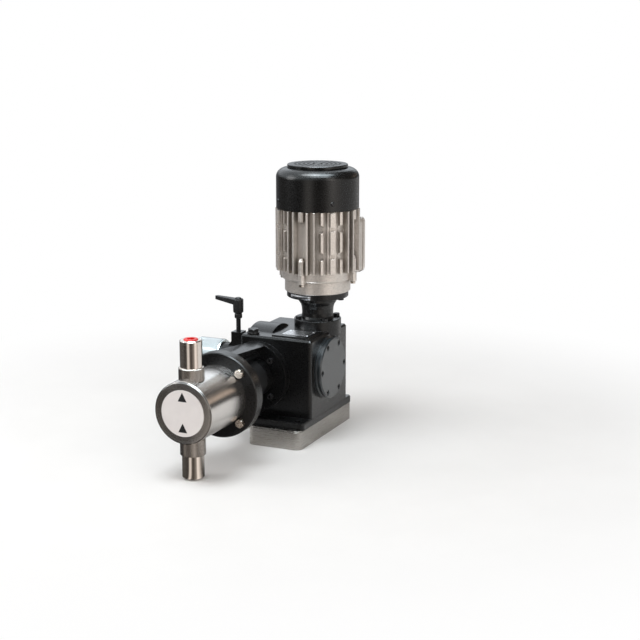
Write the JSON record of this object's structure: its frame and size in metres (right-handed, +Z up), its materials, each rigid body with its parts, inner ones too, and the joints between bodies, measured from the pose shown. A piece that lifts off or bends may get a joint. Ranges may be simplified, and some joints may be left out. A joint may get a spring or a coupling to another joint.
{
  "type": "plunger dosing pump",
  "caption": "Plunger dosing pump with a vertical flanged motor, worm gearbox on a tray, stainless pump head with ball valves and a side stroke knob.",
  "frame": {"origin": "centre of the base bolt pattern at the underside of the tray", "axes": "+Z up along the motor shaft, +Y back away from the pump head, +X right towards the side cover"},
  "size_m": [0.2812, 0.4673, 0.4563],
  "materials": {
    "tray_aluminium": "satin, rolled sheet",
    "black_enamel": "gloss enamel on casting",
    "cover_enamel": "satin enamel, machined disc",
    "black_screws": "black oxide",
    "plate_metal": "brushed, blank",
    "sight_glass": "oil level glass",
    "bearing_steel": "ground",
    "bronze": "machined bronze",
    "spring_steel": "drawn wire",
    "black_plastic": "moulded, satin",
    "packing": "braided packing",
    "plunger_steel": "ground and polished",
    "head_steel": "turned stainless",
    "polished_steel": "lapped",
    "nickel_bolts": "nickel plated",
    "label_white": "printed disc",
    "red_plastic": "moulded",
    "cast_aluminium": "die cast, silver paint",
    "cowl_black": "satin black enamel",
    "stator_iron": "laminated",
    "coupling_metal": "turned",
    "spider_rubber": "moulded",
    "nickel_brass": "nickel-plated brass",
    "knob_aluminium": "satin anodised",
    "cone_steel": "ground"
  },
  "bodies": {
    "pump_frame": {"base_tray": "tray_aluminium", "gearbox_housing": "black_enamel", "side_cover": "cover_enamel", "side_cover_screws": "black_screws", "nameplate": "plate_metal", "oil_filler_plug": "black_screws", "oil_drain_plug": "black_screws", "oil_sight_glass": "sight_glass", "shaft_bearings": "bearing_steel", "worm_bearings": "bearing_steel", "guide_bush": "bronze", "return_spring": "spring_steel", "spring_cover": "black_plastic", "packing_rings": "packing", "gland_follower": "black_plastic", "lantern": "black_enamel", "lantern_screws": "black_screws", "head_clamp_ring": "black_enamel", "head_bolts": "nickel_bolts", "pump_head": "head_steel", "head_label": "label_white", "discharge_fitting": "head_steel", "suction_fitting": "head_steel", "valve_seats": "polished_steel", "motor_adapter": "black_enamel", "adapter_bolts": "black_screws", "front_end_shield": "cast_aluminium", "motor_frame": "cast_aluminium", "tie_bolts": "nickel_bolts", "stator": "stator_iron", "motor_bearings": "bearing_steel", "rear_end_shield": "cast_aluminium", "fan_cowl": "cowl_black", "cowl_screws": "black_screws", "terminal_box": "cast_aluminium", "terminal_lid": "cast_aluminium", "terminal_screws": "nickel_bolts", "cable_gland": "nickel_brass", "adjuster_sleeve": "black_enamel", "adjuster_screws": "black_screws"},
    "motor_rotor": {"rotor_shaft": "bearing_steel", "fan": "black_plastic", "coupling_hubs": "coupling_metal", "coupling_spider": "spider_rubber", "worm_shaft": "bearing_steel"},
    "eccentric": {"eccentric_shaft": "bearing_steel", "worm_wheel": "bronze"},
    "plunger_drive": {"crosshead": "bearing_steel", "spring_plate": "bearing_steel", "plunger": "plunger_steel"},
    "discharge_ball": {"discharge_ball": "polished_steel"},
    "suction_ball": {"suction_ball": "polished_steel"},
    "port_plug": {"port_plug": "red_plastic"},
    "stop_cone": {"stop_cone": "cone_steel"},
    "stroke_knob": {"stroke_knob": "knob_aluminium"},
    "clamp_lever": {"clamp_stud": "bearing_steel", "clamp_lever": "black_plastic"},
    "lever_button": {"lever_button": "black_plastic"}
  },
  "joints": [
    {"name": "motor_spin", "type": "hinge", "parent": "pump_frame", "child": "motor_rotor", "pos_m": [0.018, 0.0296, 0.119], "axis": [0, 0, 1], "continuous": true},
    {"name": "eccentric_spin", "type": "hinge", "parent": "pump_frame", "child": "eccentric", "pos_m": [0.018, -0.0064, 0.119], "axis": [1, 0, 0], "continuous": true},
    {"name": "plunger_slide", "type": "slide", "parent": "pump_frame", "child": "plunger_drive", "axis": [0, -1, 0], "range_m": [-0.014, 0], "deforming": ["return_spring"]},
    {"name": "knob_turn", "type": "hinge", "parent": "stop_cone", "child": "stroke_knob", "pos_m": [-0.15, -0.0064, 0.119], "axis": [1, 0, 0], "range_deg": [0, 3600]},
    {"name": "stop_cone_slide", "type": "slide", "parent": "pump_frame", "child": "stop_cone", "axis": [1, 0, 0], "range_m": [0, 0.01]},
    {"name": "discharge_ball_lift", "type": "slide", "parent": "pump_frame", "child": "discharge_ball", "axis": [0, 0, 1], "range_m": [0, 0.005]},
    {"name": "suction_ball_lift", "type": "slide", "parent": "pump_frame", "child": "suction_ball", "axis": [0, 0, 1], "range_m": [0, 0.005]},
    {"name": "port_plug_pull", "type": "slide", "parent": "pump_frame", "child": "port_plug", "axis": [0, 0, 1], "range_m": [0, 0.03]},
    {"name": "clamp_lever_turn", "type": "hinge", "parent": "pump_frame", "child": "clamp_lever", "pos_m": [-0.1155, -0.0064, 0.2], "axis": [0, 0, 1], "range_deg": [0, 90]},
    {"name": "lever_button_press", "type": "slide", "parent": "clamp_lever", "child": "lever_button", "axis": [0, 0, -1], "range_m": [0, 0.002], "stiffness_N_per_m": 800, "springref_m": -0.001}
  ],
  "couplings": [
    {"joint": "eccentric_spin", "follows": "motor_spin", "ratio": -0.041667},
    {"joint": "knob_turn", "follows": "stop_cone_slide", "rad_per_m": 6283.2}
  ]
}
